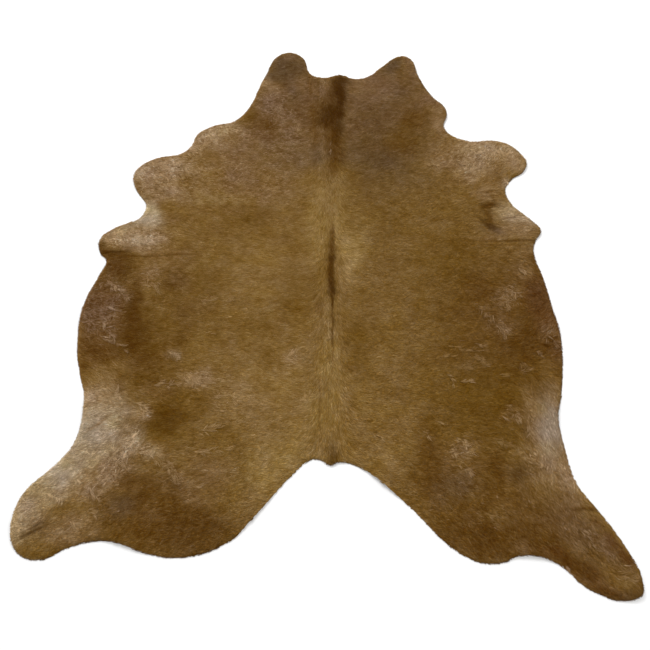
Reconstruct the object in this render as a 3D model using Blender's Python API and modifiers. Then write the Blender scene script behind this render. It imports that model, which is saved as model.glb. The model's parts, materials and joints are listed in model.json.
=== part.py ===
"""A hair-on cowhide rug: one tanned hide, lying flat with its low swells and lifted edges.

Metres. X runs across the hide, Y along the spine towards the neck, Z up from the floor.
Places on the hide are given as a maker marks them out: `side` is the distance to the right
of the spine line, and `along` the distance from the tail towards the neck.
The finished hide is centred on the origin, with its underside on the floor.
"""

import math
from collections import namedtuple

import bmesh
import bpy

NAME = "hide"
THICKNESS = 0.003  # leather with its coat pressed flat
CELL = 0.035  # spacing of the points inside the edge, which carry the swells
EDGE_STEPS = 8  # points on the curve between two landmarks of the edge
SAME_PLACE = 0.0001  # points closer than this are one point
NEAR_CUT = 0.003  # a point this near a cut across the sheet is taken as on it

COAT_COLOUR = (0.19, 0.115, 0.048, 1.0)
COAT_ROUGHNESS = 0.7

Landmark = namedtuple("Landmark", "side along")
Swell = namedtuple("Swell", "name side along to_side to_along height end_height reach")

# The cut edge, clockwise from the left of the neck. Each row is a landmark: side, along.
EDGE = {
    "left neck lobe": (
        (-0.275, 1.705),
        (-0.210, 1.835),
        (-0.120, 1.820),
        (-0.070, 1.705),
    ),
    "nape": (
        (-0.030, 1.695),
        (0.050, 1.715),
        (0.110, 1.690),
        (0.175, 1.710),
    ),
    "right neck lobe": (
        (0.220, 1.755),
        (0.320, 1.820),
        (0.360, 1.795),
        (0.385, 1.705),
    ),
    "right cheek": (
        (0.445, 1.575),
        (0.475, 1.540),
        (0.490, 1.480),
        (0.475, 1.405),
    ),
    "right upper front leg": (
        (0.560, 1.340),
        (0.675, 1.340),
        (0.740, 1.310),
        (0.775, 1.250),
        (0.785, 1.210),
        (0.765, 1.170),
        (0.715, 1.135),
    ),
    "right lower front leg": (
        (0.685, 1.080),
        (0.695, 1.030),
        (0.775, 0.930),
        (0.795, 0.885),
        (0.770, 0.845),
        (0.755, 0.790),
    ),
    "right flank": (
        (0.775, 0.685),
        (0.790, 0.550),
        (0.800, 0.425),
        (0.765, 0.215),
        (0.745, 0.155),
        (0.750, 0.050),
        (0.770, -0.070),
        (0.810, -0.140),
    ),
    "right hind leg": (
        (0.890, -0.280),
        (0.910, -0.375),
        (0.895, -0.405),
        (0.755, -0.385),
        (0.670, -0.310),
        (0.565, -0.290),
        (0.505, -0.310),
        (0.420, -0.300),
    ),
    "rump": (
        (0.210, -0.115),
        (0.070, -0.010),
        (0.025, -0.005),
        (0.000, -0.015),
        (-0.035, 0.005),
        (-0.070, 0.000),
        (-0.105, -0.030),
        (-0.240, -0.185),
        (-0.300, -0.245),
        (-0.445, -0.295),
        (-0.540, -0.285),
    ),
    "left hind leg": (
        (-0.685, -0.245),
        (-0.795, -0.270),
        (-0.855, -0.300),
        (-0.935, -0.280),
        (-0.970, -0.200),
        (-0.965, -0.130),
        (-0.940, -0.080),
        (-0.885, -0.025),
        (-0.825, 0.060),
    ),
    "left flank": (
        (-0.815, 0.210),
        (-0.845, 0.305),
        (-0.870, 0.400),
        (-0.870, 0.595),
        (-0.840, 0.690),
        (-0.820, 0.755),
    ),
    "left lower front leg": (
        (-0.850, 0.790),
        (-0.855, 0.855),
        (-0.825, 0.895),
        (-0.705, 0.980),
    ),
    "left upper front leg": (
        (-0.760, 1.100),
        (-0.770, 1.150),
        (-0.745, 1.210),
        (-0.685, 1.250),
        (-0.590, 1.275),
    ),
    "left cheek": (
        (-0.560, 1.310),
        (-0.535, 1.380),
        (-0.475, 1.415),
        (-0.400, 1.440),
        (-0.350, 1.495),
    ),
}

# Swells and lifted edges. Each is a soft ridge from a place on the edge to one further in,
# with its height at both ends and its reach to either side.
SWELLS = (
    #     name                             side   along  to_side to_along height end   reach
    Swell("left neck lobe",              -0.155,  1.850, -0.120,  1.600, 0.010, 0.003, 0.100),
    Swell("right neck lobe",              0.345,  1.830,  0.270,  1.560, 0.012, 0.003, 0.110),
    Swell("nape, left crease",           -0.055,  1.715, -0.052,  1.450, 0.006, 0.002, 0.060),
    Swell("right cheek",                  0.510,  1.490,  0.330,  1.420, 0.009, 0.002, 0.080),
    Swell("left cheek",                  -0.460,  1.430, -0.300,  1.300, 0.007, 0.002, 0.080),
    Swell("left upper front leg",        -0.755,  1.150, -0.520,  1.120, 0.010, 0.002, 0.090),
    Swell("left armpit",                 -0.690,  0.990, -0.500,  0.960, 0.006, 0.002, 0.060),
    Swell("left lower front leg",        -0.845,  0.845, -0.520,  0.850, 0.009, 0.002, 0.060),
    Swell("left crease, lower side",     -0.810,  0.720, -0.520,  0.735, 0.008, 0.002, 0.060),
    Swell("right upper front leg",        0.805,  1.225,  0.560,  1.210, 0.011, 0.003, 0.090),
    Swell("right armpit",                 0.705,  1.060,  0.520,  1.020, 0.006, 0.002, 0.060),
    Swell("right lower front leg",        0.815,  0.895,  0.560,  0.905, 0.009, 0.002, 0.060),
    Swell("right crease, lower side",     0.780,  0.770,  0.540,  0.785, 0.007, 0.002, 0.060),
    Swell("left flank",                  -0.858,  0.520, -0.640,  0.450, 0.008, 0.002, 0.110),
    Swell("left groin",                  -0.795,  0.160, -0.600,  0.240, 0.009, 0.002, 0.090),
    Swell("right flank",                  0.815,  0.500,  0.640,  0.440, 0.007, 0.002, 0.110),
    Swell("right groin",                  0.765,  0.140,  0.570,  0.230, 0.010, 0.002, 0.090),
    Swell("left hind tip",               -0.945, -0.210, -0.760, -0.110, 0.010, 0.003, 0.080),
    Swell("left thigh edge",             -0.620, -0.255, -0.520, -0.080, 0.008, 0.002, 0.090),
    Swell("right hind tip",               0.925, -0.395,  0.790, -0.240, 0.014, 0.003, 0.090),
    Swell("right hind leg, upper crease",  0.860, -0.180,  0.720, -0.150, 0.007, 0.003, 0.060),
    Swell("right thigh edge",             0.600, -0.290,  0.540, -0.100, 0.010, 0.002, 0.090),
    Swell("rump, right of the tail",      0.170, -0.060,  0.240,  0.120, 0.012, 0.002, 0.100),
    Swell("rump, left of the tail",      -0.230, -0.190, -0.200,  0.010, 0.007, 0.002, 0.090),
    Swell("tail",                         0.015,  0.000,  0.010,  0.150, 0.005, 0.001, 0.050),
)


def clear_scene():
    for old in list(bpy.data.objects):
        bpy.data.objects.remove(old)


def collection_named(name):
    made = bpy.data.collections.new(name)
    bpy.context.scene.collection.children.link(made)
    return made


def edge_curve(collection):
    """The flat outline as one closed, filled curve that runs smoothly through the landmarks."""
    landmarks = [Landmark(*row) for stretch in EDGE.values() for row in stretch]
    curve = bpy.data.curves.new("edge", "CURVE")
    curve.dimensions = "2D"
    curve.fill_mode = "BOTH"
    curve.resolution_u = EDGE_STEPS
    spline = curve.splines.new("BEZIER")
    spline.bezier_points.add(len(landmarks) - 1)
    spline.use_cyclic_u = True
    for point, mark in zip(spline.bezier_points, landmarks):
        point.co = (mark.side, mark.along, 0.0)
        point.handle_left_type = "AUTO"
        point.handle_right_type = "AUTO"
    drawn = bpy.data.objects.new("edge", curve)
    collection.objects.link(drawn)
    return drawn


def mesh_of(drawn):
    """The curve's filled outline as a mesh, with the curve removed."""
    depsgraph = bpy.context.evaluated_depsgraph_get()
    mesh = bpy.data.meshes.new_from_object(drawn.evaluated_get(depsgraph))
    bpy.data.objects.remove(drawn)
    return mesh


def one_face(sheet):
    """Joins the filled outline's triangles into a single flat face that looks up."""
    bmesh.ops.remove_doubles(sheet, verts=sheet.verts, dist=SAME_PLACE)
    bmesh.ops.dissolve_faces(sheet, faces=sheet.faces)
    for face in sheet.faces:
        if face.normal.z < 0:
            face.normal_flip()


def stations(low, high):
    """Evenly spaced lines between two bounds, about CELL apart."""
    count = round((high - low) / CELL)
    return [low + (high - low) * step / count for step in range(1, count)]


def cut_into_cells(sheet):
    for axis in (0, 1):
        reach = [vert.co[axis] for vert in sheet.verts]
        for place in stations(min(reach), max(reach)):
            point = [0.0, 0.0, 0.0]
            normal = [0.0, 0.0, 0.0]
            point[axis] = place
            normal[axis] = 1.0
            everything = sheet.verts[:] + sheet.edges[:] + sheet.faces[:]
            bmesh.ops.bisect_plane(
                sheet, geom=everything, dist=NEAR_CUT, plane_co=point, plane_no=normal
            )
    bmesh.ops.triangulate(sheet, faces=sheet.faces)


def swell_height(swell, side, along):
    """The height that one swell gives a place: a round ridge that fades to nothing at its reach."""
    run_side = swell.to_side - swell.side
    run_along = swell.to_along - swell.along
    from_start = (side - swell.side) * run_side + (along - swell.along) * run_along
    share = min(max(from_start / (run_side**2 + run_along**2), 0.0), 1.0)
    off_side = side - swell.side - share * run_side
    off_along = along - swell.along - share * run_along
    away = math.hypot(off_side, off_along) / swell.reach
    if away >= 1.0:
        return 0.0
    ridge = swell.height + (swell.end_height - swell.height) * share
    return ridge * math.cos(away * math.pi / 2) ** 2


def lift_swells(sheet):
    for vert in sheet.verts:
        vert.co.z = sum(swell_height(swell, vert.co.x, vert.co.y) for swell in SWELLS)


def centre_on_floor(sheet):
    """Moves the hide so that its box is centred on the origin in plan."""
    for axis in (0, 1):
        reach = [vert.co[axis] for vert in sheet.verts]
        middle = (min(reach) + max(reach)) / 2
        for vert in sheet.verts:
            vert.co[axis] -= middle


def coat_material():
    made = bpy.data.materials.new("coat")
    made.use_nodes = True
    shader = made.node_tree.nodes["Principled BSDF"]
    shader.inputs["Base Color"].default_value = COAT_COLOUR
    shader.inputs["Roughness"].default_value = COAT_ROUGHNESS
    shader.inputs["Metallic"].default_value = 0.0
    return made


def make_hide(collection):
    mesh = mesh_of(edge_curve(collection))
    sheet = bmesh.new()
    sheet.from_mesh(mesh)
    one_face(sheet)
    cut_into_cells(sheet)
    lift_swells(sheet)
    centre_on_floor(sheet)
    sheet.to_mesh(mesh)
    sheet.free()
    mesh.name = NAME
    mesh.shade_smooth()
    hide = bpy.data.objects.new(NAME, mesh)
    collection.objects.link(hide)
    mesh.materials.clear()
    mesh.materials.append(coat_material())
    thick = hide.modifiers.new("thickness", "SOLIDIFY")
    thick.thickness = THICKNESS
    thick.offset = 1.0  # all of it above the sheet, so the underside stays on the floor
    thick.use_even_offset = True
    return hide


clear_scene()
make_hide(collection_named("cowhide rug"))
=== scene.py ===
# A hair-on cowhide rug, lying coat side up on a pale floor. Metres, unless a table says otherwise.
# A place on the hide is (side, along): to the right of the spine, and from the tail to the neck.
import json
import math
from collections import namedtuple

import bpy
import numpy as np
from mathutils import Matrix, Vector
from mathutils.bvhtree import BVHTree

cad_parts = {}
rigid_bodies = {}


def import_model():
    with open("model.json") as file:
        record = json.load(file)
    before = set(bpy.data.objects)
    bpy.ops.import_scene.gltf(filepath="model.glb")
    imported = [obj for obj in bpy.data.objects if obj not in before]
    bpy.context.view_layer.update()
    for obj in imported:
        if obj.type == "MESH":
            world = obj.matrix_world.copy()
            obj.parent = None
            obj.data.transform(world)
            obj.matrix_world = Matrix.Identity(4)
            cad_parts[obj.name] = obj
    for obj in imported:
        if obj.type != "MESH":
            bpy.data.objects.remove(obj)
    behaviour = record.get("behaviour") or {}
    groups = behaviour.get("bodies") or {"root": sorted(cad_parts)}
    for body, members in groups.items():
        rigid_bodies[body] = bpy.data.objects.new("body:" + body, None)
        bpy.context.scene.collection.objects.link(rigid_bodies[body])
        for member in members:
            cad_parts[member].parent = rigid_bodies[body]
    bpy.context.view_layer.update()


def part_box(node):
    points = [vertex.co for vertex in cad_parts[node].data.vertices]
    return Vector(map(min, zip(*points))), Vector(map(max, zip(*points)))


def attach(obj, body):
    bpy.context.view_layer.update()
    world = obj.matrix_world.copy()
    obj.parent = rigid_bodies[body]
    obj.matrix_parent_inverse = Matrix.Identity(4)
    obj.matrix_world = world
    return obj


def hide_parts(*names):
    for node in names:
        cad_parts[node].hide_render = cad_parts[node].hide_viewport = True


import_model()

hide = {
    "node": "hide",
    "spine": 0.0306,  # X of the spine line
    "tail": -0.7135,  # Y of the tail's root
}
seeds = {  # of the random numbers; a noise in layers takes the ones that follow too
    "uneven": 4,
    "coat": 4,
    "finer hair": 5,
    "warp": 14,
    "clouds": 24,
    "warmth": 32,
    "curls": 33,
    "waves": 34,
    "streaks": 54,
    "clumps": 55,
    "leans": 56,
    "bends": 57,
}
hideNode = bpy.data.objects[hide["node"]]
boxLow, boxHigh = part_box(hide["node"])
tiny = 1e-6  # keeps a division clear of nought
mm, percent = 1000, 100  # units of the tables: how many make one


def rowsOf(kind, units, rows):
    # a table's rows under their columns' names, in metres and shares
    return [
        kind(*(value / unit if unit else value for value, unit in zip(row, units))) for row in rows
    ]


def makeActive(thing):
    bpy.ops.object.select_all(action="DESELECT")
    thing.select_set(True)
    bpy.context.view_layer.objects.active = thing


def inScene(name, data):
    made = bpy.data.objects.new(name, data)
    bpy.context.scene.collection.objects.link(made)
    return made


def pointsOf(mesh):
    places = np.empty(len(mesh.vertices) * 3)
    mesh.vertices.foreach_get("co", places)
    return places.reshape(-1, 3)


def giveTone(mesh, tone):
    colours = mesh.color_attributes.new("tone", "FLOAT_COLOR", "POINT")
    colours.data.foreach_set("color", np.column_stack([tone, np.ones(len(tone))]).ravel())


def onHide(x, y):
    return x - hide["spine"], y - hide["tail"]


def eased(share):
    return share * share * (3 - 2 * share)


def between(values, rows, columns, v, u):
    # the value at a share of the way from one grid point to the next, in both directions
    near = values[rows[0], columns[0]] * (1 - u) + values[rows[0], columns[1]] * u
    far = values[rows[1], columns[0]] * (1 - u) + values[rows[1], columns[1]] * u
    return near * (1 - v) + far * v


class Field:  # numbers on an even grid in plan, read between its points
    held = 1.001  # readings stay this many points short of the grid's far sides

    def __init__(self, low, step, values):
        self.low = low
        self.step = step
        self.values = values

    def at(self, x, y):
        column = np.clip((x - self.low[0]) / self.step, 0, self.values.shape[1] - self.held)
        row = np.clip((y - self.low[1]) / self.step, 0, self.values.shape[0] - self.held)
        i = column.astype(int)
        j = row.astype(int)
        return between(self.values, (j, j + 1), (i, i + 1), row - j, column - i)


class SoftNoise:  # smooth random numbers from -1 to 1, with features of a given size
    cells = 97

    def __init__(self, size, seed):
        self.size = size
        self.values = np.random.default_rng(seed).uniform(-1, 1, (self.cells, self.cells))

    def at(self, x, y):
        column = x / self.size
        row = y / self.size
        i = np.floor(column).astype(int)
        j = np.floor(row).astype(int)
        rows = (j % self.cells, (j + 1) % self.cells)
        columns = (i % self.cells, (i + 1) % self.cells)
        return between(self.values, rows, columns, eased(row - j), eased(column - i))

    def shareAt(self, x, y):  # from 0 to 1
        return 0.5 + 0.5 * self.at(x, y)


leather = {
    "cell": 0.012,
    "nearCut": 0.003,  # a point this near a cut is taken as on it
    "thickness": 0.002,
    "inset": 0.003,  # the hair hangs over the cut edge by about this
    "under": -1.0,  # where rays towards the underside start
    "heightStep": 0.006,
    "heightMargin": 8,  # steps around the solid's box
    "heightSpread": 12,  # steps that the heights are carried past the edge
    "smoothing": 5,  # passes
    "unevenness": 0.0005,  # height of the soft dips and rises all over
    "unevenSize": 0.09,
    "samePlace": 0.00001,  # points closer than this are one point
    "facing": 0.5,  # a face whose normal rises or falls by more than this looks up or down
    "rimStep": 0.010,  # grid that the distance from the edge is kept on
    "rimMargin": 0.05,
    "creaseLine": 0.45,  # how broad a crease's line is for its width
    "creaseFade": 0.6,  # how much lower a crease is at its end
    "smoothAngle": 40,  # degrees
}

# Soft creases in the leather and its coat, each from one place to another. In millimetres.
Crease = namedtuple("Crease", "name side along toSide toAlong height width kind")
creaseUnits = (None, mm, mm, mm, mm, mm, mm, None)
creases = rowsOf(Crease, creaseUnits, (
    ("left lower front leg", -840, 785, -420, 775, 3, 16, "trough"),
    ("right lower front leg", 780, 845, 560, 840, 2.2, 12, "trough"),
    ("right lower front leg, under", 775, 825, 640, 828, 1.6, 12, "trough"),
    ("nape, outer", -78, 1730, -74, 1600, 2.2, 12, "trough"),
    ("nape, inner", -50, 1690, -48, 1590, 1.8, 12, "trough"),
    ("spine, neck", 12, 1330, 4, 1210, 1.5, 10, "ridge"),
    ("spine, back", 4, 920, 2, 420, 1.8, 14, "trough"),
    ("spine, rump", -6, 420, -10, 20, 1.6, 12, "ridge"),
    ("left of the spine, rump", -35, 300, -33, 20, 1.4, 12, "trough"),
    ("left hind tip, upper", -932, -226, -868, -186, 1.8, 12, "trough"),
    ("left hind tip, lower", -930, -240, -875, -205, 2.2, 12, "trough"),
    ("right hind leg", 820, -150, 735, -150, 2.2, 12, "trough"),
    ("left groin", -790, 85, -720, 165, 1.4, 12, "trough"),
    ("right armpit", 745, 935, 640, 915, 1.4, 12, "ridge"),
    ("left thigh", -460, -20, -240, 60, 1.2, 20, "ridge"),
))


def creaseHeight(side, along):
    # a trough is two soft shoulders with the line left low between them, clear of the floor
    total = np.zeros_like(side)
    for crease in creases:
        runSide = crease.toSide - crease.side
        runAlong = crease.toAlong - crease.along
        length = math.hypot(runSide, runAlong)
        acrossSide, acrossAlong = side - crease.side, along - crease.along
        share = np.clip((acrossSide * runSide + acrossAlong * runAlong) / length**2, 0, 1)
        away = np.hypot(acrossSide - share * runSide, acrossAlong - share * runAlong)
        line = np.exp(-((away / (leather["creaseLine"] * crease.width)) ** 2))
        if crease.kind == "trough":
            line = np.exp(-((away / crease.width) ** 2)) - line
        total += crease.height * (1 - leather["creaseFade"] * share) * line
    return total


def undersideOf(mesh):
    # the corner and heights of a grid over the solid's underside, with gaps where it has none
    tree = BVHTree.FromPolygons(
        [vertex.co[:] for vertex in mesh.vertices], [face.vertices[:] for face in mesh.polygons]
    )
    step = leather["heightStep"]
    margin = leather["heightMargin"] * step
    low = (boxLow[0] - margin, boxLow[1] - margin)
    xs = np.arange(low[0], boxHigh[0] + margin, step)
    ys = np.arange(low[1], boxHigh[1] + margin, step)
    heights = np.full((len(ys), len(xs)), np.nan)
    for row, y in enumerate(ys):
        for column, x in enumerate(xs):
            place = tree.ray_cast(Vector((x, y, leather["under"])), Vector((0, 0, 1)))[0]
            if place is not None:
                heights[row, column] = max(place.z, 0.0)
    return low, heights


def spread(heights, passes):
    # carries the heights outwards past the edge, ring by ring
    steps = (-1, 0, 1)
    for _ in range(passes):
        gap = np.isnan(heights)
        padded = np.pad(heights, 1, constant_values=np.nan)
        rows, columns = heights.shape
        beside = np.stack(
            [padded[1 + a : 1 + a + rows, 1 + b : 1 + b + columns] for a in steps for b in steps]
        )
        known = ~np.isnan(beside)
        count = known.sum(axis=0)
        mean = np.where(known, beside, 0).sum(axis=0) / np.maximum(count, 1)
        heights = np.where(gap & (count > 0), mean, heights)
    return np.nan_to_num(heights)


def smooth(values, passes):
    own = 4  # how much a point counts beside its four neighbours
    for _ in range(passes):
        padded = np.pad(values, 1, mode="edge")
        beside = padded[:-2, 1:-1] + padded[2:, 1:-1] + padded[1:-1, :-2] + padded[1:-1, 2:]
        values = (beside + own * values) / (4 + own)
    return values


def flatCut(node):
    # the hide's flat outline as a single face
    cut = inScene("leather", node.data.copy())
    makeActive(cut)
    bpy.ops.object.mode_set(mode="EDIT")
    bpy.ops.mesh.select_mode(type="FACE")
    bpy.ops.mesh.select_all(action="SELECT")
    bpy.ops.mesh.remove_doubles(threshold=leather["samePlace"])
    bpy.ops.object.mode_set(mode="OBJECT")
    for face in cut.data.polygons:
        face.select = face.normal.z > -leather["facing"]
    bpy.ops.object.mode_set(mode="EDIT")
    bpy.ops.mesh.delete(type="FACE")
    bpy.ops.mesh.select_all(action="SELECT")
    bpy.ops.transform.resize(value=(1, 1, 0))
    bpy.ops.mesh.dissolve_faces()
    bpy.ops.mesh.select_all(action="SELECT")
    bpy.ops.mesh.flip_normals()
    bpy.ops.object.mode_set(mode="OBJECT")
    return cut


def rimField(low, outline):
    # distance in from the edge, negative outside it
    step = leather["rimStep"]
    xs = np.arange(low[0], boxHigh[0] + leather["rimMargin"], step)
    ys = np.arange(low[1], boxHigh[1] + leather["rimMargin"], step)
    px, py = np.meshgrid(xs, ys)
    nearest = np.full(px.shape, np.inf)
    for (ax, ay), (bx, by) in zip(outline, np.roll(outline, -1, axis=0)):
        runX, runY = bx - ax, by - ay
        run = runX**2 + runY**2
        if run == 0:
            continue
        share = np.clip(((px - ax) * runX + (py - ay) * runY) / run, 0, 1)
        nearest = np.minimum(nearest, np.hypot(px - ax - share * runX, py - ay - share * runY))
    sign = np.where(isInside.at(px, py) > 0.5, 1, -1)
    return Field(low, step, nearest * sign)


def cutIntoCells(cut):
    makeActive(cut)
    bpy.ops.object.mode_set(mode="EDIT")
    bpy.ops.mesh.select_all(action="SELECT")
    bpy.ops.mesh.inset(thickness=leather["inset"])
    bpy.ops.mesh.select_all(action="INVERT")
    bpy.ops.mesh.delete(type="FACE")
    for axis in (0, 1):
        extent = boxHigh[axis] - boxLow[axis]
        count = round(extent / leather["cell"])
        for line in range(1, count):
            point = [0.0, 0.0, 0.0]
            normal = [0.0, 0.0, 0.0]
            point[axis] = boxLow[axis] + extent * line / count
            normal[axis] = 1.0
            bpy.ops.mesh.select_all(action="SELECT")
            bpy.ops.mesh.bisect(plane_co=point, plane_no=normal, threshold=leather["nearCut"])
    bpy.ops.object.mode_set(mode="OBJECT")


gridLow, heights = undersideOf(hideNode.data)
filled = smooth(spread(heights, leather["heightSpread"]), leather["smoothing"])
underside = Field(gridLow, leather["heightStep"], filled)
isInside = Field(gridLow, leather["heightStep"], (~np.isnan(heights)).astype(float))
unevenNoise = SoftNoise(leather["unevenSize"], seeds["uneven"])


def undersideHeight(x, y):
    uneven = leather["unevenness"] * unevenNoise.shareAt(x, y)
    return np.maximum(underside.at(x, y), 0) + creaseHeight(*onHide(x, y)) + uneven


def topHeight(x, y):
    return undersideHeight(x, y) + leather["thickness"]


def makeLeather():
    # the sheet as it lies, without its thickness, and its flat outline
    cut = flatCut(hideNode)
    mesh = cut.data
    outline = np.array([mesh.vertices[i].co[:2] for i in mesh.polygons[0].vertices])
    cutIntoCells(cut)
    places = pointsOf(mesh)
    places[:, 2] = undersideHeight(places[:, 0], places[:, 1])
    mesh.vertices.foreach_set("co", places.ravel())
    mesh.update()
    return cut, outline


cut, outline = makeLeather()
rim = rimField(gridLow, outline)
print("leather:", len(cut.data.polygons), "cells, outline of", len(outline))


tones = {  # as seen in soft light, 0 to 255
    "golden brown": (119, 90, 47),
    "honey": (130, 101, 57),
    "pale honey": (142, 114, 68),
    "olive gold": (108, 79, 34),
    "olive umber": (98, 69, 24),
    "dark line": (62, 37, 8),
    "deep umber": (80, 51, 15),
    "umber": (92, 62, 24),
    "tan": (124, 95, 60),
    "dusty brown": (107, 80, 51),
    "slate brown": (92, 70, 46),
    "rosy brown": (120, 92, 65),
    "red brown": (89, 58, 30),
    "beige": (145, 117, 84),
    "pale beige": (156, 131, 99),
    "ash": (163, 142, 116),
    "cream": (172, 151, 124),
    "grey ash": (152, 134, 112),
    "white hair": (178, 157, 129),
}

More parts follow.
